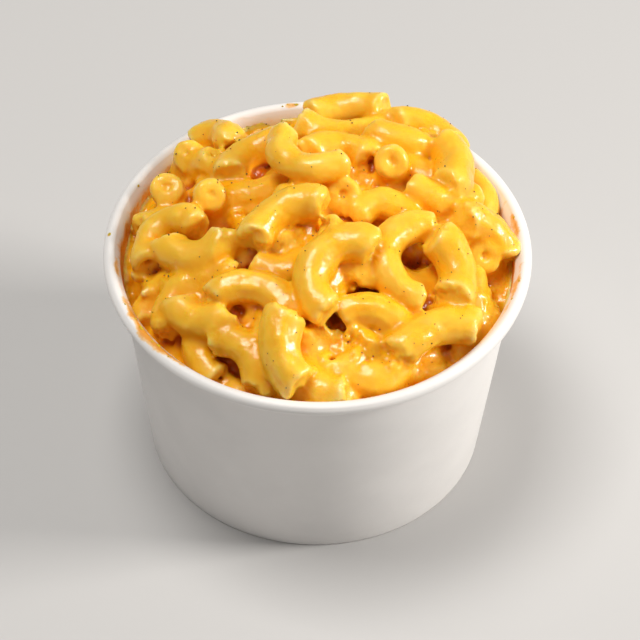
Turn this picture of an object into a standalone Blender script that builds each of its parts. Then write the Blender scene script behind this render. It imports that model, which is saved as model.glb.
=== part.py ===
"""A paper cup of macaroni and cheese: turned cup wall with a rolled rim, recessed bottom, and the heap
of elbows as one solid out to its uneven outline. Units are metres, +Z up, origin at the cup's base."""

import math
import random

import bmesh
import bpy
from mathutils import Vector

MM = 0.001

# Cup, mm
RIM_RADIUS = 50.0  # outermost point of the rolled rim
HEIGHT = 60.5
FOOT_RADIUS = 40.0
WALL_TOP_RADIUS = 46.8  # outer face of the wall just under the roll
PAPER = 0.6
ROLL = 1.55  # radius of the rolled rim's section
SKIRT = 1.2  # thickness of the folded foot
FLOOR_UNDER = 6.0  # underside of the bottom disc above the table
FLOOR_PAPER = 0.6
GAP = 0.3
SEGMENTS = 72

# Heap, mm
TUBE = 3.85  # radius of an elbow with its coat of sauce
DOME_EDGE = -5.0  # the top layer's centre line at the wall, from the rim's top
DOME_RISE = 15.0
DOME_SPAN = 44.0
DOME_TIP = 0.10  # the heap stands a little higher at the back
VOXEL = 1.15
HEAP_TRIANGLES = 5200
FILL_ELBOWS = 70  # more elbows packed under the top layer
FILL_SEED = 5

# Elbows that lie along the heap's top: right, away, lift, side it opens to, tilt, twist, arc, bend
LYING = {
    "crest_back": (7, 42.5, 5, -95, -8, 14, 65, 17),
    "crest_front": (7, 32.5, 3, 95, 10, 0, 88, 15),
    "under_crest": (6, 27, 0, -90, 0, 0, 120, 9),
    "hook": (-6, 14, 3.5, 50, 0, 0, 165, 9),
    "hook_shadow": (-18, 24, 1, -48, 0, 0, 110, 10),
    "back_left_rim": (-25, 37, 3, -130, -20, 0, 110, 8),
    "back_left_tube": (-23, 30, -2, -60, 0, 0, 100, 9),
    "left_arch": (-36, 2, 3.5, -62, -5, 0, 185, 7),
    "left_loop": (-27.5, -8.5, 0.5, 80, 0, 0, 140, 8),
    "left_diag": (-29, -14, 1.5, -62, 0, 0, 125, 11),
    "left_edge": (-38, -12, -1, -60, -20, 0, 110, 8),
    "left_lump": (-27, -23, 1, 65, 0, 0, 120, 8),
    "front_left_c": (-13, -20, 5, -112, 0, 0, 125, 11),
    "front_left_down": (-26, -30, -0.5, 20, 0, 0, 90, 10),
    "front_left_knee": (-15.5, -32, 1, -140, -10, 0, 120, 9),
    "front_bright": (-8.5, -34, 5, 15, -10, 0, 80, 13),
    "centre_lumpy": (-9, 0, 3, -60, 0, 0, 100, 12),
    "centre_c": (0, -14, 3.5, -32, 0, 0, 175, 9.8),
    "right_c": (15.5, -11, 3, -8, 0, 0, 180, 9.8),
    "right_bulge": (32, -9, 3, 195, 5, 0, 100, 11),
    "front_arch": (15, -25, 3.5, -110, -20, 0, 130, 9),
    "front_right": (28, -25.5, 3.5, -60, 0, 6, 66, 19),
    "front_mid": (12, -36, -1.5, 95, -20, 0, 120, 9),
    "knob_right": (15, 6, 1, -90, -20, 0, 130, 8),
    "mid_right": (29, 11, 1.5, 100, 0, 0, 90, 12),
    "slope_tube": (25, 18, 0.5, 60, 0, 0, 100, 10),
    "back_right_big": (32, 21, 5, 182, -10, 0, 62, 18),
    "back_right_rim": (24, 37, 4.5, -110, -10, 0, 110, 10),
    "back_right_low": (20, 28, 3, 90, -10, 0, 110, 9),
    "right_back_edge": (40, 21, 2, 200, -20, 0, 110, 9),
    "right_rim": (41.5, 5, 4.5, -105, -10, -8, 100, 10),
    "right_low": (35, -15, 1.5, 150, -10, 0, 120, 8),
    "mid_tube": (-8, -14, 1.5, 90, -10, 0, 90, 10),
    "front_left_rim": (-14, -38, -3, 90, -20, 0, 110, 9),
    "front_edge": (1, -40, -2, 80, -20, 0, 120, 8),
    "right_front_edge": (26, -32, -2.5, 120, -20, 0, 110, 9),
    "right_edge": (39, -20, -2, 150, -20, 0, 110, 9),
}
# Elbows that stand end on: right, away, lift, way the end faces, rise, side it curls to, arc, bend
END_ON = {
    "end_a": (-30, 25, 4, -90, 50, -100, 120, 8),
    "end_b": (-36, 16, 3.5, -95, 55, -60, 120, 8),
    "end_c": (-25, 8.5, 3.5, -85, 48, -90, 120, 8),
    "knob": (6, 4, 3, -110, 45, -120, 120, 8),
    "bore_right": (17, 18, 4, -85, 42, -80, 120, 8),
    "right_bore": (41, -2, 3.5, -85, 40, -70, 120, 8),
    "mid_loop": (-16, -9, 2.5, -90, 50, -120, 120, 7),
    "mid_small": (-8, -9.8, 2, -90, 45, -60, 120, 8),
}


def clear_scene():
    for item in list(bpy.data.objects):
        bpy.data.objects.remove(item, do_unlink=True)


def collection(name):
    made = bpy.data.collections.new(name)
    bpy.context.scene.collection.children.link(made)
    return made


def material(name, colour, roughness, subsurface=0.0):
    made = bpy.data.materials.new(name)
    made.use_nodes = True
    shader = made.node_tree.nodes["Principled BSDF"]
    shader.inputs["Base Color"].default_value = (*colour, 1.0)
    shader.inputs["Roughness"].default_value = roughness
    shader.inputs["Subsurface Weight"].default_value = subsurface
    made.diffuse_color = (*colour, 1.0)
    return made


def apply_modifiers(item):
    """Replaces the object's data with its evaluated mesh; a curve becomes a new mesh object."""
    graph = bpy.context.evaluated_depsgraph_get()
    baked = bpy.data.meshes.new_from_object(item.evaluated_get(graph))
    if item.type == "MESH":
        item.modifiers.clear()
        item.data = baked
        return item
    made = bpy.data.objects.new(item.name, baked)
    made.matrix_world = item.matrix_world
    for home in item.users_collection:
        home.objects.link(made)
    bpy.data.objects.remove(item, do_unlink=True)
    return made


def shade(item, look, degrees):
    item.data.materials.clear()
    item.data.materials.append(look)
    item.data.shade_smooth()
    item.data.set_sharp_from_angle(angle=math.radians(degrees))


def turned(name, profile, home, closed, steps=SEGMENTS):
    """A profile of (radius, height) in mm swept about Z with a Screw modifier."""
    mesh = bpy.data.meshes.new(name)
    count = len(profile)
    edges = [(i, (i + 1) % count) for i in range(count if closed else count - 1)]
    mesh.from_pydata([(r * MM, 0, z * MM) for r, z in profile], edges, [])
    made = bpy.data.objects.new(name, mesh)
    home.objects.link(made)
    spin = made.modifiers.new("turn", "SCREW")
    spin.axis, spin.steps, spin.render_steps = "Z", steps, steps
    spin.use_merge_vertices, spin.merge_threshold = True, 0.00001
    spin.use_normal_calculate = False
    return apply_modifiers(made)


def outer_radius(z):
    return FOOT_RADIUS + (WALL_TOP_RADIUS - FOOT_RADIUS) * z / (HEIGHT - ROLL)


def inner_radius(z):
    return outer_radius(z) - PAPER


def wall_profile():
    """Up the inside from the folded foot, over the roll, and down the outside."""
    centre, mid, fold = RIM_RADIUS - ROLL, HEIGHT - ROLL, outer_radius(0) - SKIRT
    shelf, under = FLOOR_UNDER - GAP, HEIGHT - ROLL - 1.1
    ring = [(fold + 0.25, 0), (fold, 0.25), (fold, shelf), (inner_radius(shelf), shelf)]
    ring += [(inner_radius(z), z) for z in (6.5, 56)]
    ring.append((inner_radius(mid) + 0.05, mid - 0.3))
    for degrees in range(155, -131, -19):
        turn = math.radians(degrees)
        ring.append((centre + ROLL * math.cos(turn), mid + ROLL * math.sin(turn)))
    ring.append((outer_radius(under), under))
    ring += [(outer_radius(z), z) for z in (40, 20, 0.25)]
    return ring + [(outer_radius(0) - 0.25, 0)]


def bottom_profile():
    top = FLOOR_UNDER + FLOOR_PAPER
    edge = inner_radius(FLOOR_UNDER) - GAP
    return [(0, top), (edge - 0.2, top), (edge, top - 0.2), (edge, FLOOR_UNDER + 0.2),
            (edge - 0.2, FLOOR_UNDER), (0, FLOOR_UNDER)]


def dome(x, y):
    return HEIGHT + DOME_EDGE + DOME_RISE * (1 - (x * x + y * y) / DOME_SPAN**2) + DOME_TIP * y


def dome_normal(x, y):
    slope_x = -2 * DOME_RISE * x / DOME_SPAN**2
    slope_y = -2 * DOME_RISE * y / DOME_SPAN**2 + DOME_TIP
    return Vector((-slope_x, -slope_y, 1)).normalized()


def lying_arc(right, away, lift, opens, tilt, twist, arc, bend):
    """Centre, inward and along axes, and the sweep of an elbow that lies on the dome."""
    normal = dome_normal(right, away)
    side = Vector((math.cos(math.radians(opens)), math.sin(math.radians(opens)), 0))
    side = (side - normal * side.dot(normal)).normalized()
    along = normal.cross(side)
    lean, turn = math.radians(tilt), math.radians(twist)
    inward = side * math.cos(lean) + normal * math.sin(lean)
    normal = normal * math.cos(lean) - side * math.sin(lean)
    along = along * math.cos(turn) + normal * math.sin(turn)
    apex = Vector((right, away, dome(right, away) + lift))
    return apex + inward * bend, inward, along, -arc / 2, arc / 2, bend


def end_on_arc(right, away, lift, faces, rises, curls, arc, bend):
    """The same for an elbow whose cut end looks out of the heap."""
    turn, lean = math.radians(faces), math.radians(rises)
    out = Vector((math.cos(lean) * math.cos(turn), math.cos(lean) * math.sin(turn), math.sin(lean)))
    left = Vector((0, 0, 1)).cross(out).normalized()
    up = out.cross(left)
    curl = math.radians(curls)
    inward = left * math.cos(curl) + up * math.sin(curl)
    end = Vector((right, away, dome(right, away) + lift))
    return end + inward * bend, inward, -out, 0, arc, bend


def filling():
    """Elbows of the next layer down, turned every way."""
    chance, rows = random.Random(FILL_SEED), []
    for _ in range(FILL_ELBOWS):
        reach, way = 42 * math.sqrt(chance.random()), chance.uniform(0, 2 * math.pi)
        rows.append((reach * math.cos(way), reach * math.sin(way), chance.uniform(-8, -4.5),
                     chance.uniform(0, 360), chance.uniform(-30, 30), chance.uniform(-20, 20),
                     chance.uniform(110, 160), chance.uniform(7.5, 9.5)))
    return rows


def arc_points(centre, inward, along, start, stop, bend, steps=12):
    turns = [math.radians(start + (stop - start) * i / steps) for i in range(steps + 1)]
    return [centre + (along * math.sin(t) - inward * math.cos(t)) * bend for t in turns]


def elbow_curves(home):
    """Every elbow as one spline of a bevelled curve."""
    curve = bpy.data.curves.new("elbows", "CURVE")
    curve.dimensions, curve.use_fill_caps = "3D", True
    curve.bevel_depth, curve.bevel_resolution = TUBE * MM, 2
    arcs = [lying_arc(*row) for row in [*LYING.values(), *filling()]]
    arcs += [end_on_arc(*row) for row in END_ON.values()]
    for arc in arcs:
        points = arc_points(*arc)
        spline = curve.splines.new("POLY")
        spline.points.add(len(points) - 1)
        for knot, point in zip(spline.points, points):
            knot.co = (*(point * MM), 1)
    made = bpy.data.objects.new("elbows", curve)
    home.objects.link(made)
    return apply_modifiers(made)


def core_profile():
    """The packed filling under the top layer, out to the wall."""
    floor, rim = FLOOR_UNDER + FLOOR_PAPER + GAP, dome(DOME_SPAN, 0) - 6
    ring = [(0, dome(0, 0) - 6)] + [(r, dome(r, 0) - 6) for r in (8, 16, 24, 32, 40)]
    return ring + [(inner_radius(rim) - 1, rim), (inner_radius(floor) - 1, floor), (0, floor)]


def room_profile():
    """The space that the heap may fill: the cup's inside, and open above the rim."""
    floor, over, side = FLOOR_UNDER + FLOOR_PAPER + GAP, HEIGHT + GAP, inner_radius(57) - GAP
    return [(0, 95), (RIM_RADIUS - 0.3, 95), (RIM_RADIUS - 0.3, over), (side, over), (side, 57),
            (inner_radius(floor) - GAP, floor), (0, floor)]


def join_meshes(name, items, home):
    """One mesh of several bodies, with curve caps welded on."""
    bm = bmesh.new()
    for item in items:
        bm.from_mesh(item.data)
        bpy.data.objects.remove(item, do_unlink=True)
    bmesh.ops.remove_doubles(bm, verts=bm.verts, dist=0.00001)
    bmesh.ops.recalc_face_normals(bm, faces=bm.faces)
    mesh = bpy.data.meshes.new(name)
    bm.to_mesh(mesh)
    bm.free()
    made = bpy.data.objects.new(name, mesh)
    home.objects.link(made)
    return made


def grow_island(seed, left):
    island, front = set(), [seed]
    while front:
        vert = front.pop()
        island.add(vert)
        near = [e.other_vert(vert) for e in vert.link_edges if e.other_vert(vert) in left]
        left.difference_update(near)
        front += near
    return island


def keep_largest(mesh):
    """Drops loose crumbs and inner shells."""
    bm = bmesh.new()
    bm.from_mesh(mesh)
    left, islands = set(bm.verts), []
    while left:
        islands.append(grow_island(left.pop(), left))
    islands.sort(key=len)
    bmesh.ops.delete(bm, geom=[v for part in islands[:-1] for v in part], context="VERTS")
    bm.to_mesh(mesh)
    bm.free()


def weld_and_soften(heap):
    weld = heap.modifiers.new("weld", "REMESH")
    weld.mode, weld.voxel_size = "VOXEL", VOXEL * MM
    soften = heap.modifiers.new("soften", "SMOOTH")
    soften.factor, soften.iterations = 0.5, 3
    apply_modifiers(heap)
    keep_largest(heap.data)


def shrink(item, triangles):
    item.data.calc_loop_triangles()
    step = item.modifiers.new("fewer", "DECIMATE")
    step.ratio = min(1.0, triangles / len(item.data.loop_triangles))
    apply_modifiers(item)


def build_heap(home, helpers, look):
    core = turned("core", core_profile(), helpers, closed=False, steps=48)
    heap = join_meshes("macaroni", [core, elbow_curves(helpers)], home)
    weld_and_soften(heap)
    shrink(heap, HEAP_TRIANGLES)
    room = turned("room", room_profile(), helpers, closed=False)
    room.hide_render, room.display_type = True, "WIRE"
    cut = heap.modifiers.new("fit", "BOOLEAN")
    cut.operation, cut.solver, cut.object = "INTERSECT", "EXACT", room
    apply_modifiers(heap)
    keep_largest(heap.data)
    shade(heap, look, 60)


def main():
    clear_scene()
    home, helpers = collection("mac_and_cheese_cup"), collection("cutters")
    wall = turned("cup_wall", wall_profile(), home, closed=True)
    shade(wall, material("white_paper", (0.86, 0.84, 0.81), 0.6), 40)
    bottom = turned("cup_bottom", bottom_profile(), home, closed=False)
    shade(bottom, material("bottom_paper", (0.84, 0.82, 0.79), 0.7), 40)
    build_heap(home, helpers, material("cheese_macaroni", (0.90, 0.45, 0.07), 0.35, 0.15))


main()
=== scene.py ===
import math

import bmesh
import bpy
import numpy as np
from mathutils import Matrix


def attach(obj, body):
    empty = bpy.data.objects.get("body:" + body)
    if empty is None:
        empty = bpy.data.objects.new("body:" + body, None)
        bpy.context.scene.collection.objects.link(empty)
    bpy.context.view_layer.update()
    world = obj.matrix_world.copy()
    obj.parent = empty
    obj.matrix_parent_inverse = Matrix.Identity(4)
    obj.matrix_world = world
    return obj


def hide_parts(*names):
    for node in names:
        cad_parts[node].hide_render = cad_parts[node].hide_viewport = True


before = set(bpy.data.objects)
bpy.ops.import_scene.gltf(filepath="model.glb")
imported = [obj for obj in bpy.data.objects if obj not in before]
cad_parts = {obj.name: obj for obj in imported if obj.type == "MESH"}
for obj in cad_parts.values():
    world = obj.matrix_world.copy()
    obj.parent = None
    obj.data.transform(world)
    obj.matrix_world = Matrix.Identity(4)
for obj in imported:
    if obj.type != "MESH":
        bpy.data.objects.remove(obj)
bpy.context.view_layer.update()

import openvdb
from mathutils import Matrix, Vector

MM = 0.001

# ---------------------------------------------------------------- sizes, mm
RIM_RADIUS, HEIGHT, FOOT_RADIUS = 50.0, 60.5, 40.0
WALL_TOP_RADIUS = 46.8  # outer face of the wall at the height of the roll's middle
PAPER = 0.6
ROLL = 1.55  # radius of the rolled rim's section
SKIRT = 1.2  # thickness of the folded foot
FLOOR_UNDER, FLOOR_PAPER = 6.0, 0.6  # the bottom disc: how high its underside is, and its thickness
CUP_STEPS = 360
ROLL_CENTRE, ROLL_MID = RIM_RADIUS - ROLL, HEIGHT - ROLL
DOME_EDGE, DOME_RISE, DOME_SPAN = -5.0, 15.0, 44.0  # the top elbows' centre lines, from the rim's top
DOME_TIP = 0.10  # the heap stands a little higher at the back
PASTA = 3.5  # outer radius of a cooked elbow
COAT = 0.5  # sauce on it
TUBE = PASTA + COAT
END_ROUNDING = 1.4  # of the edge round a cut end
BORE_ROUNDING = 0.9  # of the edge between an end and its bore
VOXEL = 0.42
FAR = 6.0  # what the field holds where nothing is near
HEAP_TRIANGLES = 190000
# How softly the placed elbows, the loose ones and the sauce run into what is there
BLEND, LOOSE_BLEND, SAUCE_BLEND = 1.6, 2.4, 3.0
MENISCUS, MENISCUS_WIDTH = 3.2, 0.9  # how high the sauce climbs the wall, and how far in that reaches
STRAIGHT_TOP = 57.5  # above this height the food no longer follows the wall's taper
INTO_WALL = 0.25  # the food reaches this far into the paper
OVER_ROLL = 2.9  # and this much further out where it stands over the roll
SAUCE_BELOW = 3.8  # the sauce between the elbows lies this far under their centre line

# Elbows that lie along the top: right, away, lift, side it opens to, tilt, twist, arc, bend
LYING = {
    "crest_back": (7, 40.7, 3.4, -95, -8, 14, 65, 17),
    "crest_front": (6, 30.5, 1.5, 95, 10, 0, 88, 15),
    "under_crest": (6, 27, 0, -90, 0, 0, 120, 9),
    "hook": (-6, 14, 3.5, 50, 0, 0, 165, 9),
    "hook_shadow": (-18, 24, 1, -48, 0, 0, 110, 10),
    "back_left_rim": (-25, 37, 3, -130, -20, 0, 110, 8),
    "back_left_tube": (-23, 30, -2, -60, 0, 0, 100, 9),
    "left_arch": (-36, 2, 3.5, -62, -5, 0, 185, 7),
    "left_loop": (-27.5, -8.5, 0.5, 80, 0, 0, 140, 8),
    "left_diag": (-29, -14, 1.5, -62, 0, 0, 125, 11),
    "left_edge": (-38, -12, -1, -60, -20, 0, 110, 8),
    "left_lump": (-27, -23, 1, 65, 0, 0, 120, 8),
    "front_left_c": (-13, -20, 4, -112, 0, 0, 125, 11),
    "front_left_down": (-26, -30, -0.5, 20, 0, 0, 90, 10),
    "front_left_knee": (-15.5, -32, 1, -140, -10, 0, 120, 9),
    "front_bright": (-8, -35.5, 7, 12, -10, 0, 82, 13),
    "centre_lumpy": (-9, 0, 3, -60, 0, 0, 100, 12),
    "centre_c": (0, -14, 3.5, -32, 0, 0, 175, 9.8),
    "right_c": (15.5, -11, 3, -8, 0, 0, 180, 9.8),
    "right_bulge": (32, -9, 3, 195, 5, 0, 100, 11),
    "front_arch": (15, -25, 3.5, -110, -20, 0, 130, 9),
    "front_right": (28, -25.5, 3.5, -60, 0, 6, 66, 19),
    "front_mid": (12, -36, -1.5, 95, -20, 0, 120, 9),
    "knob_right": (15, 6, 1, -90, -20, 0, 130, 8),
    "mid_right": (29, 11, 1.5, 100, 0, 0, 90, 12),
    "slope_tube": (25, 18, 0.5, 60, 0, 0, 100, 10),
    "back_right_big": (32, 21, 5, 182, -10, 0, 62, 18),
    "back_right_rim": (24, 37, 4.5, -110, -10, 0, 110, 10),
    "back_right_low": (20, 28, 3, 90, -10, 0, 110, 9),
    "right_back_edge": (40, 21, 2, 200, -20, 0, 110, 9),
    "right_rim": (41.5, 5, 4.5, -105, -10, -8, 100, 10),
    "right_low": (35, -15, 1.5, 150, -10, 0, 120, 8),
    "mid_tube": (-8, -14, 1.5, 90, -10, 0, 90, 10),
    "front_left_rim": (-14, -38, -3, 90, -20, 0, 110, 9),
    "front_edge": (1, -40, -2, 80, -20, 0, 120, 8),
    "right_front_edge": (26, -32, -2.5, 120, -20, 0, 110, 9),
    "right_edge": (39, -20, -2, 150, -20, 0, 110, 9),
}
# Elbows that stand end on: right, away, lift, way the end faces, rise, side it curls to, arc, bend
END_ON = {
    "end_a": (-30, 25, 4, -90, 50, -100, 120, 8),
    "end_b": (-36, 16, 3.5, -95, 55, -60, 120, 8),
    "end_c": (-25, 8.5, 3.5, -85, 48, -90, 120, 8),
    "knob": (6, 4, 3, -110, 45, -120, 120, 8),
    "bore_right": (17, 18, 4, -85, 42, -80, 120, 8),
    "right_bore": (41, -2, 3.5, -85, 40, -70, 120, 8),
    "mid_loop": (-16, -9, 2.5, -90, 50, -120, 120, 7),
    "mid_small": (-8, -9.8, 2, -90, 45, -60, 120, 8),
}
# Elbows that swelled more, or less, than the rest
GIRTH = {"front_bright": 1.2, "right_bulge": 1.18, "back_right_big": 1.14, "centre_c": 1.04, "hook": 0.92,
         "front_left_c": 0.94, "front_right": 1.1, "right_rim": 1.18, "end_a": 0.95, "end_c": 0.95}
# Elbows whose ends the sauce has closed
SEALED = {"front_left_c", "front_bright", "centre_lumpy", "right_bulge", "back_right_big",
          "back_right_rim", "front_arch", "right_rim", "crest_front", "crest_back", "left_lump",
          "hook", "hook_shadow", "left_diag", "front_mid", "front_left_knee", "right_c",
          "front_right"}
# Where the sauce stands thick over the elbows: right, away, lift, radius
DOLLOPS = [(10, -29, -1, 6), (20, -33, -3, 6), (-21, -22, -1, 5), (33, -16, -1, 5), (19, 28, -1, 6),
           (-22, 20, -2, 5), (28, 4, -2, 5), (2, 24, -2, 5), (-4, -4, -2, 5), (-34, -8, -3, 5)]
# Where the heap is open and the gap runs deep: right, away, radius
GAPS = [(10, -15, 4), (-1, 27, 4), (-14, 16, 3.5), (-23, 3, 3.5), (-30, 9, 3), (-21, -34, 4), (-2, -41, 4),
        (-32, 34, 5), (22, -4, 3), (44, -14, 5), (-43, -6, 4), (38, -27, 5)]


# ---------------------------------------------------------------- elbows
def dome(x, y):
    return HEIGHT + DOME_EDGE + DOME_RISE * (1 - (x * x + y * y) / DOME_SPAN**2) + DOME_TIP * y


def unit(v):
    return v / np.linalg.norm(v)


def heading(degrees, rise=0.0):
    a, b = math.radians(degrees), math.radians(rise)
    return np.array([math.cos(b) * math.cos(a), math.cos(b) * math.sin(a), math.sin(b)])


def dome_normal(x, y):
    right, away = 2 * DOME_RISE * x / DOME_SPAN**2, 2 * DOME_RISE * y / DOME_SPAN**2
    return unit(np.array([right, away - DOME_TIP, 1.0]))


def lying(x, y, lift, opens, tilt, twist, arc, bend):
    normal = dome_normal(x, y)
    side = heading(opens)
    side = unit(side - normal * (side @ normal))
    along = np.cross(normal, side)
    lean, turn = math.radians(tilt), math.radians(twist)
    inward = side * math.cos(lean) + normal * math.sin(lean)
    normal = normal * math.cos(lean) - side * math.sin(lean)
    along = along * math.cos(turn) + normal * math.sin(turn)
    apex = np.array([x, y, dome(x, y) + lift])
    return {"centre": apex + inward * bend, "inward": inward, "along": along,
            "start": math.radians(-arc / 2), "stop": math.radians(arc / 2), "bend": bend, "loose": False}


def end_on(x, y, lift, faces, rises, curls, arc, bend):
    out = heading(faces, rises)
    left = unit(np.cross([0, 0, 1.0], out))
    inward = left * math.cos(math.radians(curls)) + np.cross(out, left) * math.sin(math.radians(curls))
    end = np.array([x, y, dome(x, y) + lift])
    return {"centre": end + inward * bend, "inward": inward, "along": -out,
            "start": 0.0, "stop": math.radians(arc), "bend": bend, "loose": False, "even": True}


def filling(count=230, seed=4):
    """The next layer down, turned every way and clear of the gaps."""
    chance, found = np.random.default_rng(seed), []
    for _ in range(count):
        reach, way = 41.5 * math.sqrt(chance.random()), chance.uniform(0, 2 * math.pi)
        elbow = lying(reach * math.cos(way), reach * math.sin(way), chance.uniform(-9, -3),
                      chance.uniform(0, 360), chance.uniform(-35, 35), chance.uniform(-25, 25),
                      chance.uniform(110, 165), chance.uniform(7.5, 9.5))
        elbow["loose"] = True
        middle = arc_points(elbow, 5)
        if not any((np.hypot(middle[:, 0] - right, middle[:, 1] - away) < size + TUBE * 0.6).any()
                   for right, away, size in GAPS):
            found.append(elbow)
    return found


def arc_points(elbow, count):
    turn = np.linspace(elbow["start"], elbow["stop"], count)[:, None]
    return elbow["centre"] + elbow["bend"] * (elbow["along"] * np.sin(turn) - elbow["inward"] * np.cos(turn))


def outer_radius(z):
    return FOOT_RADIUS + (WALL_TOP_RADIUS - FOOT_RADIUS) * z / ROLL_MID


def inner_radius(z):
    return outer_radius(z) - PAPER


# Placed elbows are eased apart along this line, up and to the front
LEAN = unit(np.array([0, -0.675, 0.737]))


def settle(elbows, rounds=40, most=2.0):
    """Eases crossing elbows apart and off the wall, placed ones mostly along LEAN, loose ones never up."""
    points = np.stack([arc_points(e, 9) for e in elbows])
    count = len(elbows)
    loose = np.array([e["loose"] for e in elbows])
    share = np.where(loose[:, None] == loose[None], 0.5, np.where(loose[:, None], 0.9, 0.1))
    shift = np.zeros((count, 3))
    for _ in range(rounds):
        now = points + shift[:, None]
        apart = now[:, None, :, None] - now[None, :, None]
        far = np.linalg.norm(apart, axis=-1) + 1e-6
        far[np.arange(count), np.arange(count)] = 1e6
        far, apart = far.reshape(count, count, -1), apart.reshape(count, count, -1, 3)
        best = far.argmin(-1)[..., None]
        near = np.take_along_axis(far, best, -1)[..., 0]
        way = np.take_along_axis(apart, best[..., None], 2)[:, :, 0] / near[..., None]
        push = (way * (np.clip(2 * TUBE * 0.92 - near, 0, None) * share)[..., None]).sum(1)
        push[~loose] = push[~loose] * 0.15 + 0.85 * (push[~loose] @ LEAN)[:, None] * LEAN
        reach = np.linalg.norm(now[..., :2], axis=-1)
        room = np.where(now[..., 2] < HEIGHT + 2, inner_radius(now[..., 2]) - TUBE * 0.9, 47.0)
        over = np.clip(reach - room, 0, None)
        worst = over.argmax(1)
        rows = np.arange(count)
        outward = now[rows, worst, :2] / np.maximum(reach[rows, worst], 1e-6)[:, None]
        shift[:, :2] -= outward * over[rows, worst][:, None] * 0.7
        shift += push * 0.35
        shift[~loose] *= 0.97
        length = np.linalg.norm(shift, axis=1)
        shift[loose, 2] = np.minimum(shift[loose, 2], 0)
        far_off = ~loose & (length > most)
        shift[far_off] *= (most / length[far_off])[:, None]
    for elbow, step in zip(elbows, shift):
        elbow["centre"] = elbow["centre"] + step
    return elbows


# ---------------------------------------------------------------- field
# The box that holds it, in mm
LOW = np.array([-51.0, -51.0, 43.0])
HIGH = np.array([51.0, 51.0, 83.0])
COUNTS = tuple(int(n) for n in np.ceil((HIGH - LOW) / VOXEL))
AXES = [(LOW[i] + VOXEL * np.arange(COUNTS[i])).astype(np.float32) for i in range(3)]


def blur(field, size):
    """The field with everything finer than about size mm smoothed out."""
    waves = np.fft.rfftn(field)
    rates = [np.fft.fftfreq(n, VOXEL) for n in COUNTS[:2]] + [np.fft.rfftfreq(COUNTS[2], VOXEL)]
    rate2 = rates[0][:, None, None]**2 + rates[1][None, :, None]**2 + rates[2][None, None]**2
    waves *= np.exp(-rate2 * (size * 0.9)**2 * 2)
    return np.fft.irfftn(waves, COUNTS, axes=(0, 1, 2)).astype(np.float32)


def soft_noise(size, seed):
    """Smooth noise over the field's box: lumps about size mm across, spread 1."""
    field = blur(np.random.default_rng(seed).standard_normal(COUNTS).astype(np.float32), size)
    return field / field.std()


def soft_min(a, b, k):
    h = np.clip(0.5 + 0.5 * (b - a) / k, 0, 1)
    return b + (a - b) * h - k * h * (1 - h)


def window(centre, reach):
    low = np.clip(((centre - reach - LOW) / VOXEL).astype(int), 0, COUNTS)
    high = np.clip(((centre + reach - LOW) / VOXEL).astype(int) + 2, 0, COUNTS)
    cut = tuple(slice(a, b) for a, b in zip(low, high))
    return cut, [AXES[0][cut[0]][:, None, None], AXES[1][cut[1]][None, :, None], AXES[2][cut[2]][None, None]]


def local(elbow, grid):
    """Coordinates along the elbow's own axes: towards its apex, along it, across its plane."""
    off = [grid[i] - np.float32(elbow["centre"][i]) for i in range(3)]
    frame_axes = (-elbow["inward"], elbow["along"], np.cross(elbow["inward"], elbow["along"]))
    return [sum(off[i] * np.float32(axis[i]) for i in range(3)) for axis in frame_axes]


def bent_tube(elbow, grid, ragged):
    """Distance to an elbow with soft cut ends, and how far past its nearer end each point lies."""
    a, b, c = local(elbow, grid)
    middle = 0.5 * (elbow["start"] + elbow["stop"])
    half = 0.5 * (elbow["stop"] - elbow["start"])
    ca, sa = np.float32(math.cos(middle)), np.float32(math.sin(middle))
    a, b = a * ca + b * sa, b * ca - a * sa
    turn = np.arctan2(b, a)
    bend = np.float32(elbow["bend"])
    inside = np.hypot(np.hypot(a, b) - bend, c)
    ce, se = math.cos(half), math.sin(half)
    # Beyond a cut end, distances are taken along the end's tangent and across it
    past = (-a * se + np.abs(b) * ce) + ragged
    across = np.hypot(a * ce + np.abs(b) * se - bend, c)
    beyond = np.abs(turn) > half
    middle_line = np.where(beyond, across, inside)
    thick = elbow["size"] * (1 + 0.05 * np.sin(turn * elbow["waves"] + elbow["phase"]))
    around = np.arctan2(c, np.where(beyond, a * ce + np.abs(b) * se, np.hypot(a, b)) - bend)
    thick = thick + elbow["ribs"] * np.cos(around * elbow["rib_count"] + np.sin(turn * 2 + elbow["phase"]))
    outer = middle_line - (thick - END_ROUNDING)
    from_end = np.where(beyond, past, -(half - np.abs(turn)) * bend + ragged)
    cap = from_end + END_ROUNDING
    tube = np.where((outer > 0) & (cap > 0), np.hypot(np.maximum(outer, 0), np.maximum(cap, 0)),
                    np.maximum(outer, cap)) - END_ROUNDING
    depth = np.where(b < 0, elbow["bore_depth"][0], elbow["bore_depth"][1])
    bore = np.maximum(middle_line - elbow["bore"], -(from_end + depth))
    tube = -soft_min(-tube, bore, BORE_ROUNDING)
    return tube, from_end


def dress(elbow, chance):
    """The small ways in which one elbow differs from the next."""
    elbow["size"] = np.float32(TUBE * elbow.get("girth", 1) * chance.uniform(0.96, 1.04))
    elbow["waves"], elbow["phase"] = chance.uniform(3, 6), chance.uniform(0, 6.3)
    elbow["bore"] = np.float32(chance.uniform(0.75, 1.25))
    elbow["bore_depth"] = tuple(chance.uniform(-0.6, 2.2, 2))
    elbow["ribs"] = np.float32(max(chance.uniform(-0.08, 0.09), 0))
    elbow["rib_count"] = int(chance.integers(7, 12))
    if elbow.get("even"):
        elbow["bore"], elbow["ribs"] = np.float32(0.75), np.float32(0)
        elbow["bore_depth"] = (0.5, 0.5)
    if elbow.get("sealed"):
        elbow["bore_depth"] = (-3.0, -3.0)
    elbow["tone"] = chance.uniform(0, 1)


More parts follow.
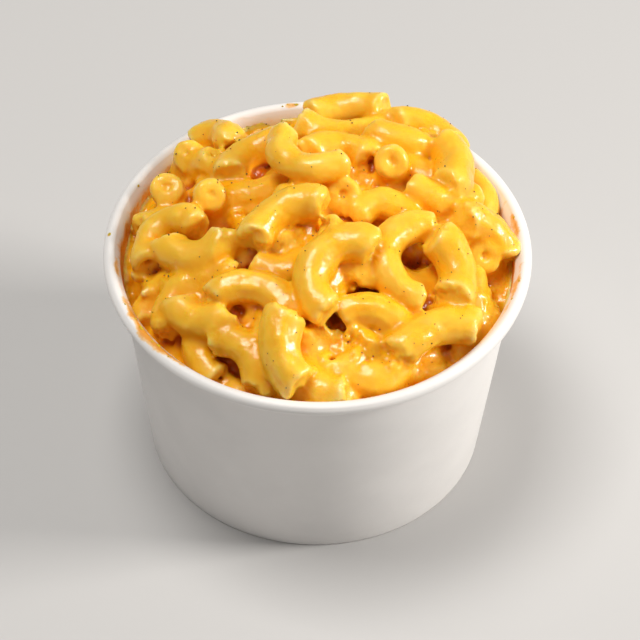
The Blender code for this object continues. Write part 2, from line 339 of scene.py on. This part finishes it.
def heap_field(elbows):
    """Distance to the elbows, joined smoothly and not, each point's tone and way to a cut end, and noise."""
    chance = np.random.default_rng(11)
    lumps, ripples = soft_noise(5.0, 1), soft_noise(1.7, 2)
    total = np.full(COUNTS, FAR, np.float32)
    bare = np.full(COUNTS, FAR, np.float32)
    tone, ends = np.full(COUNTS, 0.5, np.float32), np.full(COUNTS, 9.0, np.float32)
    for elbow in elbows:
        dress(elbow, chance)
        cut, grid = window(elbow["centre"], elbow["bend"] + TUBE + 3)
        if min(s.stop - s.start for s in cut) < 1:
            continue
        ragged = (ripples[cut] * 0.12 + lumps[cut] * 0.3) * (0.25 if elbow.get("even") else 1.0)
        tube, from_end = bent_tube(elbow, grid, ragged)
        closer = tube < bare[cut]
        bare[cut] = np.where(closer, tube, bare[cut])
        tone[cut] = np.where(closer, elbow["tone"], tone[cut])
        ends[cut] = np.where(closer, -from_end, ends[cut])
        total[cut] = soft_min(total[cut], tube, LOOSE_BLEND if elbow["loose"] else BLEND)
    return total, bare, tone, ends, lumps, ripples


def food_radius(z):
    return inner_radius(np.minimum(z, STRAIGHT_TOP)) + INTO_WALL


def add_sauce(total, lumps):
    """Sauce that fills between the elbows, thick in places and open in others."""
    x, y, z = AXES[0][:, None, None], AXES[1][None, :, None], AXES[2][None, None]
    under = np.full((COUNTS[0], COUNTS[1], 1), SAUCE_BELOW, np.float32)
    for right, away, reach in GAPS:
        under += 5.0 * np.exp(-((x - right)**2 + (y - away)**2) / reach**2)
    gap = np.maximum(food_radius(z) - np.hypot(x, y), 0)
    climb = MENISCUS * np.exp(-gap / MENISCUS_WIDTH) * (z < HEIGHT - 2)
    level = (z - dome(x, y) + under) * 0.85 - lumps * 0.7 - climb
    total = soft_min(total, level.astype(np.float32), SAUCE_BLEND)
    for right, away, lift, size in DOLLOPS:
        centre = np.array([right, away, dome(right, away) + lift - size * 0.55])
        cut, (gx, gy, gz) = window(centre, size * 1.6 + 3)
        level = ((gx - centre[0]) / 1.25)**2 + ((gy - centre[1]) / 1.25)**2
        ball = np.sqrt(level + (gz - centre[2])**2) - size
        total[cut] = soft_min(total[cut], ball + lumps[cut] * 0.8, SAUCE_BLEND)
    return total


def fit_in_cup(total):
    """Cuts the field to the cup's inside, and lets it widen over the roll."""
    x, y, z = AXES[0][:, None, None], AXES[1][None, :, None], AXES[2][None, None]
    spread = np.clip((z - (HEIGHT - 1.4)) / 1.6, 0, 1)
    room = food_radius(z) + OVER_ROLL * spread * spread * (3 - 2 * spread)
    total = np.maximum(total, np.hypot(x, y) - room)
    return np.maximum(total, (LOW[2] + 1.5) - z)


def sample(field, points):
    """The field's value at each point, between its voxels."""
    place = np.clip((points - LOW) / VOXEL, 0, np.array(COUNTS) - 1.001)
    base = place.astype(int)
    part = (place - base).astype(np.float32)
    value = np.zeros(len(points), np.float32)
    for corner in range(8):
        step = np.array([corner & 1, corner >> 1 & 1, corner >> 2 & 1])
        weight = np.prod(np.where(step, part, 1 - part), axis=1)
        at = base + step
        value += weight * field[at[:, 0], at[:, 1], at[:, 2]]
    return value


def largest(tris, quads, count):
    """Which vertices belong to the biggest connected piece."""
    label = np.arange(count)
    ends = [tris[:, [0, 1]], tris[:, [1, 2]], quads[:, [0, 1]], quads[:, [1, 2]], quads[:, [2, 3]]]
    links = np.concatenate([e for e in ends if len(e)])
    while True:
        low = np.minimum(label[links[:, 0]], label[links[:, 1]])
        new = label.copy()
        np.minimum.at(new, links[:, 0], low)
        np.minimum.at(new, links[:, 1], low)
        new = new[new]
        if (new == label).all():
            break
        label = new
    return label == np.bincount(label).argmax()


def mesh_object(name, points, faces, smooth=True):
    mesh = bpy.data.meshes.new(name)
    mesh.from_pydata((np.asarray(points) * MM).tolist(), [], faces)
    mesh.update()
    if smooth:
        mesh.shade_smooth()
    made = bpy.data.objects.new(name, mesh)
    bpy.context.scene.collection.objects.link(made)
    return made


def thin_out(piece, most):
    """Collapses short edges until the piece has about this many triangles."""
    now = sum(len(face.vertices) - 2 for face in piece.data.polygons)
    if now <= most:
        return piece
    piece.modifiers.new("thin", "DECIMATE").ratio = most / now
    thinned = bpy.data.meshes.new_from_object(piece.evaluated_get(bpy.context.evaluated_depsgraph_get()))
    piece.modifiers.clear()
    piece.data = thinned
    thinned.shade_smooth()
    return piece


def store(mesh, name, values):
    layer = mesh.attributes.new(name, "FLOAT", "POINT")
    layer.data.foreach_set("value", np.asarray(values, np.float32))


def build_heap():
    elbows = [lying(*row) | {"girth": GIRTH.get(name, 1), "sealed": name in SEALED}
              for name, row in LYING.items()]
    elbows += [end_on(*row) | {"girth": GIRTH.get(name, 1)} for name, row in END_ON.items()]
    elbows = settle(elbows + filling())
    total, bare, tone, ends, lumps, ripples = heap_field(elbows)
    total = add_sauce(total, lumps)
    total += lumps * 0.12 + ripples * (0.035 + 0.13 * np.clip(bare - 0.3, 0, 1))
    total = fit_in_cup(total)
    grid = openvdb.FloatGrid(FAR)
    grid.copyFromArray(total)
    points, tris, quads = grid.convertToPolygons(isovalue=0.0, adaptivity=0.0)
    keep = largest(tris, quads, len(points))
    tris, quads = tris[keep[tris[:, 0]]] if len(tris) else tris, quads[keep[quads[:, 0]]]
    number = np.cumsum(keep) - 1
    points = points[keep] * VOXEL + LOW
    faces = number[quads].tolist() + (number[tris].tolist() if len(tris) else [])
    heap = thin_out(mesh_object("sauced_macaroni", points, faces), HEAP_TRIANGLES)
    points = np.empty(len(heap.data.vertices) * 3, np.float32)
    heap.data.vertices.foreach_get("co", points)
    points = points.reshape(-1, 3) / MM
    thick = sample(bare, points)
    store(heap.data, "sauce", np.clip((thick - 0.15) / 1.6, 0, 1))
    store(heap.data, "tone", sample(tone, points))
    store(heap.data, "cut_end", np.clip(1 - np.abs(sample(ends, points)) / 1.4, 0, 1) * (thick < 0.5))
    # Paler on crests and deeper orange in hollows: partly the thinner sauce coat on convex pasta, partly
    # painted highlight and painted shade
    crowding = sample(blur((total < 0).astype(np.float32), 4.0), points)
    store(heap.data, "crest_coat_and_painted_light", np.clip((0.56 - crowding) / 0.30, 0, 1))
    # Painted shade in the gaps and low down: darker the further under the top and the more hemmed in a point
    # lies
    below = dome(points[:, 0], points[:, 1]) + 2.5 - points[:, 2]
    buried = sample(blur((total < 0).astype(np.float32), 9.0), points)
    store(heap.data, "painted_gap_shade", np.clip(below / 9.0, 0, 1) * 0.6 + np.clip((buried - 0.60) / 0.22, 0, 1))
    return heap


# ---------------------------------------------------------------- materials
def new_material(name):
    made = bpy.data.materials.new(name)
    made.use_nodes = True
    return made, made.node_tree.nodes, made.node_tree.links, made.node_tree.nodes["Principled BSDF"]


def noise_node(nodes, links, where, scale, detail=3.0, rough=0.5):
    node = nodes.new("ShaderNodeTexNoise")
    node.inputs["Scale"].default_value = scale
    node.inputs["Detail"].default_value = detail
    node.inputs["Roughness"].default_value = rough
    links.new(where.outputs["Object"], node.inputs["Vector"])
    return node


def ramp(nodes, links, value, low, high, to_low=0.0, to_high=1.0):
    node = nodes.new("ShaderNodeMapRange")
    node.interpolation_type = "SMOOTHSTEP"
    for key, number in zip(("From Min", "From Max", "To Min", "To Max"), (low, high, to_low, to_high)):
        node.inputs[key].default_value = number
    links.new(value, node.inputs["Value"])
    return node.outputs["Result"]


def mix(nodes, links, share, first, second):
    node = nodes.new("ShaderNodeMix")
    node.data_type = "RGBA"
    links.new(share, node.inputs[0])
    for value, socket in ((first, node.inputs[6]), (second, node.inputs[7])):
        if isinstance(value, tuple):
            socket.default_value = (*value, 1.0)
        else:
            links.new(value, socket)
    return node.outputs[2]


def arithmetic(nodes, links, operation, first, second):
    node = nodes.new("ShaderNodeMath")
    node.operation = operation
    links.new(first, node.inputs[0])
    links.new(second, node.inputs[1])
    return node.outputs[0]


def attribute(nodes, name):
    node = nodes.new("ShaderNodeAttribute")
    node.attribute_name = name
    return node.outputs["Fac"]


def bump(nodes, links, height, strength, distance, below=None):
    node = nodes.new("ShaderNodeBump")
    node.inputs["Strength"].default_value = strength
    node.inputs["Distance"].default_value = distance * MM
    links.new(height, node.inputs["Height"])
    if below:
        links.new(below, node.inputs["Normal"])
    return node.outputs["Normal"]


def cheese_material():
    made, nodes, links, shader = new_material("cheese_macaroni")
    where = nodes.new("ShaderNodeTexCoord")
    broad, fine = noise_node(nodes, links, where, 130, 3), noise_node(nodes, links, where, 600, 4)
    grain, patch = noise_node(nodes, links, where, 1300, 2), noise_node(nodes, links, where, 170, 2)
    tone = mix(nodes, links, attribute(nodes, "tone"), (0.95, 0.50, 0.020), (0.97, 0.60, 0.060))
    blotch = ramp(nodes, links, broad.outputs["Fac"], 0.40, 0.62)
    colour = mix(nodes, links, blotch, tone, (0.96, 0.53, 0.028))
    colour = mix(nodes, links, attribute(nodes, "sauce"), colour, (0.95, 0.48, 0.014))
    # Deeper orange in hollows: partly thick sauce, partly painted shade
    crest_coat_and_painted_light = ramp(nodes, links, attribute(nodes, "crest_coat_and_painted_light"), 0.0, 0.55)
    colour = mix(nodes, links, crest_coat_and_painted_light, (0.93, 0.445, 0.008), colour)
    # Painted highlight: pale cream laid in patches on the crests
    high = arithmetic(nodes, links, "MULTIPLY", ramp(nodes, links, attribute(nodes, "crest_coat_and_painted_light"), 0.45, 1.0),
                      ramp(nodes, links, patch.outputs["Fac"], 0.30, 0.65, 0.35, 1.0))
    colour = mix(nodes, links, high, colour, (0.98, 0.73, 0.26))
    colour = mix(nodes, links, attribute(nodes, "cut_end"), colour, (0.96, 0.56, 0.045))
    # Painted shade: dark brown-orange laid into the gaps and low places
    painted_gap_shade = ramp(nodes, links, attribute(nodes, "painted_gap_shade"), 0.55, 1.05)
    colour = mix(nodes, links, painted_gap_shade, colour, (0.55, 0.125, 0.001))
    links.new(colour, shader.inputs["Base Color"])
    dry = ramp(nodes, links, patch.outputs["Fac"], 0.42, 0.62, 0.46, 0.26)
    wet = ramp(nodes, links, attribute(nodes, "sauce"), 0.1, 0.8, 1.0, 0.62)
    links.new(arithmetic(nodes, links, "MULTIPLY", dry, wet), shader.inputs["Roughness"])
    shader.inputs["IOR"].default_value = 1.38
    shader.inputs["Subsurface Weight"].default_value = 0.75
    shader.inputs["Subsurface Radius"].default_value = (0.0026, 0.0013, 0.0003)
    shader.inputs["Subsurface Scale"].default_value = 1.0
    shader.inputs["Coat Weight"].default_value = 0.40
    shader.inputs["Coat Roughness"].default_value = 0.11
    first = bump(nodes, links, broad.outputs["Fac"], 0.35, 0.5)
    second = bump(nodes, links, fine.outputs["Fac"], 0.40, 0.16, first)
    rough = arithmetic(nodes, links, "MULTIPLY", grain.outputs["Fac"],
                       ramp(nodes, links, patch.outputs["Fac"], 0.46, 0.62))
    normal = bump(nodes, links, rough, 0.6, 0.16, second)
    links.new(normal, shader.inputs["Normal"])
    links.new(normal, shader.inputs["Coat Normal"])
    return made


def stained_paper():
    """White paper, stained on the inside of the wall and where sauce has run over the roll."""
    made = paper_material("white_paper", (0.84, 0.815, 0.79))
    nodes, links, shader = made.node_tree.nodes, made.node_tree.links, made.node_tree.nodes["Principled BSDF"]
    clean = shader.inputs["Base Color"].links[0].from_socket
    where = nodes.new("ShaderNodeTexCoord")
    parts = nodes.new("ShaderNodeSeparateXYZ")
    links.new(where.outputs["Object"], parts.inputs[0])
    edge, far = noise_node(nodes, links, where, 260, 5, 0.65), noise_node(nodes, links, where, 22, 1)
    height = ramp(nodes, links, parts.outputs["Z"], 0.0550, 0.0603, 1.6, 0.0)
    film = arithmetic(nodes, links, "MULTIPLY", height, attribute(nodes, "inside"))
    wander = ramp(nodes, links, far.outputs["Fac"], 0.35, 0.65, 0.55, 1.25)
    film = arithmetic(nodes, links, "MULTIPLY", film, wander)
    total = arithmetic(nodes, links, "ADD", film, attribute(nodes, "stain"))
    ragged = ramp(nodes, links, edge.outputs["Fac"], 0.30, 0.70, -0.45, 0.45)
    total = arithmetic(nodes, links, "ADD", total, ragged)
    thin = mix(nodes, links, ramp(nodes, links, total, 0.46, 1.0), clean, (0.82, 0.50, 0.20))
    thick = mix(nodes, links, ramp(nodes, links, total, 0.95, 1.5), thin, (0.72, 0.29, 0.030))
    links.new(thick, shader.inputs["Base Color"])
    return made


def paper_material(name, colour):
    made, nodes, links, shader = new_material(name)
    where = nodes.new("ShaderNodeTexCoord")
    fibre = noise_node(nodes, links, where, 1500, 4, 0.6)
    cloud = noise_node(nodes, links, where, 60, 4)
    share = ramp(nodes, links, cloud.outputs["Fac"], 0.35, 0.68)
    darker = tuple(c * 0.955 for c in colour)
    links.new(mix(nodes, links, share, colour, darker), shader.inputs["Base Color"])
    links.new(ramp(nodes, links, fibre.outputs["Fac"], 0.3, 0.7, 0.42, 0.58), shader.inputs["Roughness"])
    shader.inputs["Subsurface Weight"].default_value = 0.08
    shader.inputs["Subsurface Radius"].default_value = (0.0010, 0.0009, 0.0008)
    shader.inputs["Subsurface Scale"].default_value = 1.0
    links.new(bump(nodes, links, fibre.outputs["Fac"], 0.25, 0.05), shader.inputs["Normal"])
    return made


# ---------------------------------------------------------------- cup
def spin(name, profile, segments, radius_change=None):
    """A closed ring of (radius, height) in mm turned about Z."""
    turn = np.linspace(0, 2 * np.pi, segments, endpoint=False)[:, None]
    r, z = np.array(profile).T
    r, z = r[None] + 0 * turn, z[None] + 0 * turn
    if radius_change:
        r = r + radius_change(turn, z)
    points = np.stack([r * np.cos(turn), r * np.sin(turn), z], -1).reshape(-1, 3)
    count, faces = len(profile), []
    for i in range(segments):
        here, there = i * count, (i + 1) % segments * count
        for j in range(count):
            k = (j + 1) % count
            faces.append((here + j, there + j, there + k, here + k))
    return mesh_object(name, points, faces)


def wall_profile():
    """Up the outside, round the roll, down the inside to the bottom disc, and down the folded foot."""
    mid, under, fold = ROLL_MID, ROLL_MID - 1.1, outer_radius(0) - SKIRT
    shelf = FLOOR_UNDER - 0.3
    ring = [(outer_radius(0) - 0.2, 0.0), (outer_radius(0.2), 0.2)]
    ring += [(outer_radius(z), z) for z in (0.8, 3, 5.6, 6.0, 6.4, 12, 20, 28, 36, 44, 50, 53.5)]
    ring += [(outer_radius(z) - d, z) for z, d in ((54.6, 0), (54.9, 0.08), (55.2, 0), (56.2, 0))]
    ring.append((outer_radius(under), under))
    for degrees in range(-130, 161, 10):
        turn = math.radians(degrees)
        ring.append((ROLL_CENTRE + ROLL * math.cos(turn), mid + ROLL * math.sin(turn)))
    ring.append((inner_radius(mid) + 0.05, mid - 0.3))
    ring += [(inner_radius(z), z) for z in (57, 54, 48, 40, 30, 20, 12, 6.5, shelf)]
    return ring + [(fold, shelf), (fold, 3), (fold, 0.2), (fold + 0.2, 0.0)]


def build_cup():
    def uneven(turn, z):
        """The wall is a little out of round, and its lap shows at the back."""
        wave = 0.10 * np.sin(2 * turn + 0.6) + 0.05 * np.sin(5 * turn)
        lap = np.mod(turn - math.radians(112) + np.pi, 2 * np.pi) - np.pi
        step = 0.28 * np.clip(1 - lap / math.radians(9), 0, 1) * (lap > 0)
        return (wave * np.clip(z / 60, 0, 1) + step) * (z < 60)

    profile = wall_profile()
    cup = spin("paper_cup", profile, CUP_STEPS, uneven)
    r, z = np.array(profile).T
    rows = np.arange(len(profile))
    store(cup.data, "inside", np.tile(np.clip((rows - z.argmax()) / 4, 0, 1), CUP_STEPS))
    section = np.degrees(np.arctan2(z - ROLL_MID, r - ROLL_CENTRE)) % 360
    on_roll = z > ROLL_MID - 2.5
    way = np.linspace(0, 360, CUP_STEPS, endpoint=False)[:, None]
    stain = np.zeros((CUP_STEPS, len(profile)))
    for turn, side, wide, tall, strength in STAINS:
        across = (way - turn + 180) % 360 - 180
        stain += strength * np.exp(-(across / wide)**2 - ((section - side) / tall)**2) * on_roll
    for turn, height, wide, tall, strength in MARKS:
        across = (way - turn + 180) % 360 - 180
        stain += strength * np.exp(-(across / wide)**2 - ((z - height) / tall)**2) * (rows < z.argmax())
    store(cup.data, "stain", stain.ravel())
    return cup


# Sauce on the roll: way round, way round the roll's section (90 is its top), half lengths, strength
STAINS = [(217, 112, 8, 52, 2.0), (206, 135, 6, 40, 1.3), (228, 130, 5, 38, 1.1), (176, 70, 1.2, 25, 1.0),
          (98, 100, 2.5, 35, 1.1), (285, 150, 5, 30, 0.8), (340, 150, 9, 32, 1.0), (352, 130, 5, 30, 0.9),
          (12, 145, 8, 35, 1.0), (190, 150, 8, 30, 0.9), (65, 150, 7, 30, 0.9), (312, 160, 8, 28, 0.8)]
# Faint drips on the outside of the wall: way round, height, half width, half height, strength
MARKS = [(285, 56.3, 1.6, 1.2, 0.6), (283, 55.0, 0.9, 0.8, 0.45), (238, 55.6, 1.0, 0.9, 0.4)]
# Drops dried on the roll: way round, way round the roll's section, radius
DROPS = [(213, 118, 0.42), (219, 105, 0.30), (221, 128, 0.50), (209, 132, 0.38), (203, 112, 0.22),
         (176, 72, 0.30), (97, 98, 0.30), (99.5, 88, 0.20), (101, 104, 0.24), (342, 138, 0.34),
         (349, 120, 0.26), (14, 132, 0.32), (226, 98, 0.20), (298, 140, 0.26), (264, 145, 0.30),
         (48, 128, 0.24), (155, 140, 0.30), (122, 132, 0.24)]


def build_drops():
    """Low drops of sauce, each a flattened ball bedded in the roll."""
    chance, all_points, all_faces = np.random.default_rng(31), [], []
    ball, sides = icosphere(2)
    for way, section, size in DROPS:
        turn, psi = math.radians(way), math.radians(section)
        out = np.array([math.cos(psi) * math.cos(turn), math.cos(psi) * math.sin(turn), math.sin(psi)])
        around = np.array([-math.sin(turn), math.cos(turn), 0])
        place = np.array([ROLL_CENTRE * math.cos(turn), ROLL_CENTRE * math.sin(turn), ROLL_MID]) + out * ROLL
        length = around * size * chance.uniform(0.9, 1.8)
        axes = np.stack([length, np.cross(out, around) * size, out * size * 0.45])
        lumps = 1 + 0.18 * np.sin(ball @ chance.uniform(-4, 4, 3) + chance.uniform(0, 6.3))
        all_points.append(place + (ball * lumps[:, None]) @ axes)
        all_faces.append(sides + len(ball) * len(all_faces))
    return mesh_object("sauce_drops", np.concatenate(all_points), np.concatenate(all_faces).tolist())


# ---------------------------------------------------------------- core and specks
def build_core():
    """What lies under the top elbows, turned, from the middle of the floor up to the middle of the top."""
    floor, segments = FLOOR_UNDER + FLOOR_PAPER + 0.3, 96
    rings = [(inner_radius(z) - 0.1, z) for z in (floor, 20, 34, 44)]
    rings += [(r, dome(r, 0) - 12) for r in (40, 30, 20, 10)]
    turn = np.linspace(0, 2 * np.pi, segments, endpoint=False)
    points = [(r * math.cos(t), r * math.sin(t), z) for r, z in rings for t in turn]
    low, high = len(points), len(points) + 1
    points += [(0, 0, floor), (0, 0, dome(0, 0) - 12)]
    last, faces = (len(rings) - 1) * segments, []
    for i in range(segments):
        j = (i + 1) % segments
        faces += [(low, j, i), (high, last + i, last + j)]
        faces += [(k + i, k + j, k + segments + j, k + segments + i) for k in range(0, last, segments)]
    return mesh_object("cheese_core", points, faces)


def icosphere(subdivisions):
    ball = bmesh.new()
    bmesh.ops.create_icosphere(ball, subdivisions=subdivisions, radius=1.0)
    points = np.array([v.co[:] for v in ball.verts])
    sides = np.array([[v.index for v in f.verts] for f in ball.faces])
    ball.free()
    return points, sides


def build_specks(heap, name, count, low, high, seed):
    """Grains of spice stuck in the sauce, each a small uneven lump."""
    chance = np.random.default_rng(seed)
    mesh = heap.data
    points = np.empty(len(mesh.vertices) * 3, np.float32)
    normals = np.empty(len(mesh.vertices) * 3, np.float32)
    mesh.vertices.foreach_get("co", points)
    mesh.vertices.foreach_get("normal", normals)
    points, normals = points.reshape(-1, 3) / MM, normals.reshape(-1, 3)
    pool = np.flatnonzero((normals[:, 2] > 0.15) & (points[:, 2] > 53))
    grain, sides = icosphere(1)
    all_points, all_faces = [], []
    for i, at in enumerate(chance.choice(pool, count, replace=False)):
        size = chance.uniform(low, high) * chance.uniform(0.6, 1.4, 3)
        turn = Matrix.Rotation(chance.uniform(0, 6.3), 3, Vector(chance.standard_normal(3)))
        shape = grain * chance.uniform(0.75, 1.25, (len(grain), 1)) * size
        all_points.append(shape @ np.array(turn).T + points[at] + normals[at] * size.mean() * 0.35)
        all_faces.append(sides + i * len(grain))
    return mesh_object(name, np.concatenate(all_points), np.concatenate(all_faces).tolist(), smooth=False)


def speck_material(name, colour):
    made, nodes, links, shader = new_material(name)
    where = nodes.new("ShaderNodeTexCoord")
    grain = noise_node(nodes, links, where, 900, 2)
    share = ramp(nodes, links, grain.outputs["Fac"], 0.35, 0.65)
    links.new(mix(nodes, links, share, colour, tuple(c * 0.45 for c in colour)), shader.inputs["Base Color"])
    shader.inputs["Roughness"].default_value = 0.45
    return made


# ---------------------------------------------------------------- stage
def build_stage():
    far = 1500
    floor = mesh_object("floor", [(-far, -far, 0), (far, -far, 0), (far, far, 0), (-far, far, 0)],
                        [(0, 1, 2, 3)], smooth=False)
    made, _, _, shader = new_material("floor")
    shader.inputs["Base Color"].default_value = (0.55, 0.54, 0.53, 1.0)
    shader.inputs["Roughness"].default_value = 0.9
    floor.data.materials.append(made)
    world = bpy.data.worlds.new("studio")
    world.use_nodes = True
    world.node_tree.nodes["Background"].inputs["Color"].default_value = (1.0, 0.985, 0.97, 1.0)
    world.node_tree.nodes["Background"].inputs["Strength"].default_value = 0.23
    bpy.context.scene.world = world


def softbox(name, place, target, size, power, colour=(1, 1, 1)):
    lamp = bpy.data.lights.new(name, "AREA")
    lamp.shape, lamp.size, lamp.size_y = "RECTANGLE", size[0], size[1]
    lamp.energy, lamp.color = power, colour
    made = bpy.data.objects.new(name, lamp)
    made.location = place
    made.rotation_euler = (Vector(target) - Vector(place)).to_track_quat("-Z", "Y").to_euler()
    bpy.context.scene.collection.objects.link(made)


def build_camera():
    rise, roll, distance = math.radians(47.51), math.radians(0.99), 0.850
    back = Vector((0, -math.cos(rise), math.sin(rise)))
    right = Vector((1, 0, 0))
    up = back.cross(right)
    tilted = right * math.cos(roll) + up * math.sin(roll)
    above = up * math.cos(roll) - right * math.sin(roll)
    data = bpy.data.cameras.new("camera")
    data.lens, data.sensor_width, data.clip_end = 208.6, 36.0, 20
    made = bpy.data.objects.new("camera", data)
    turn = Matrix((tilted, above, back)).transposed()
    place = Vector((0.0008, -0.0227, 0.0605)) + back * distance
    made.matrix_world = Matrix.Translation(place) @ turn.to_4x4()
    bpy.context.scene.collection.objects.link(made)
    bpy.context.scene.camera = made


def main():
    bpy.context.scene.view_settings.view_transform = "Standard"
    build_camera()
    build_stage()
    softbox("key", (0.82, -0.02, 0.46), (0, 0, 0.05), (0.24, 0.24), 7.4, (1.0, 0.97, 0.93))
    softbox("top", (-0.25, 0.05, 1.20), (0, 0, 0.05), (0.5, 0.5), 10.0, (1.0, 0.98, 0.95))
    cheese = cheese_material()
    heap = build_heap()
    heap.data.materials.append(cheese)
    core = build_core()
    core.data.materials.append(cheese)
    cup = build_cup()
    cup.data.materials.append(stained_paper())
    drops = build_drops()
    drops.data.materials.append(cheese)
    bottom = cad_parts["cup_bottom"]
    bottom.data.materials.clear()
    bottom.data.materials.append(paper_material("bottom_paper", (0.82, 0.79, 0.76)))
    pepper = build_specks(heap, "pepper_specks", 260, 0.09, 0.21, 21)
    pepper.data.materials.append(speck_material("pepper", (0.09, 0.038, 0.016)))
    paprika = build_specks(heap, "paprika_specks", 110, 0.09, 0.19, 22)
    paprika.data.materials.append(speck_material("paprika", (0.50, 0.08, 0.02)))
    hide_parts("macaroni")
    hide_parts("cup_wall")
    for piece, name in ((heap, "cheese_macaroni"), (core, "cheese_macaroni"), (cup, "white_paper"),
                        (drops, "cheese_macaroni"), (pepper, "cheese_macaroni"),
                        (paprika, "cheese_macaroni")):
        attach(piece, "root")


main()
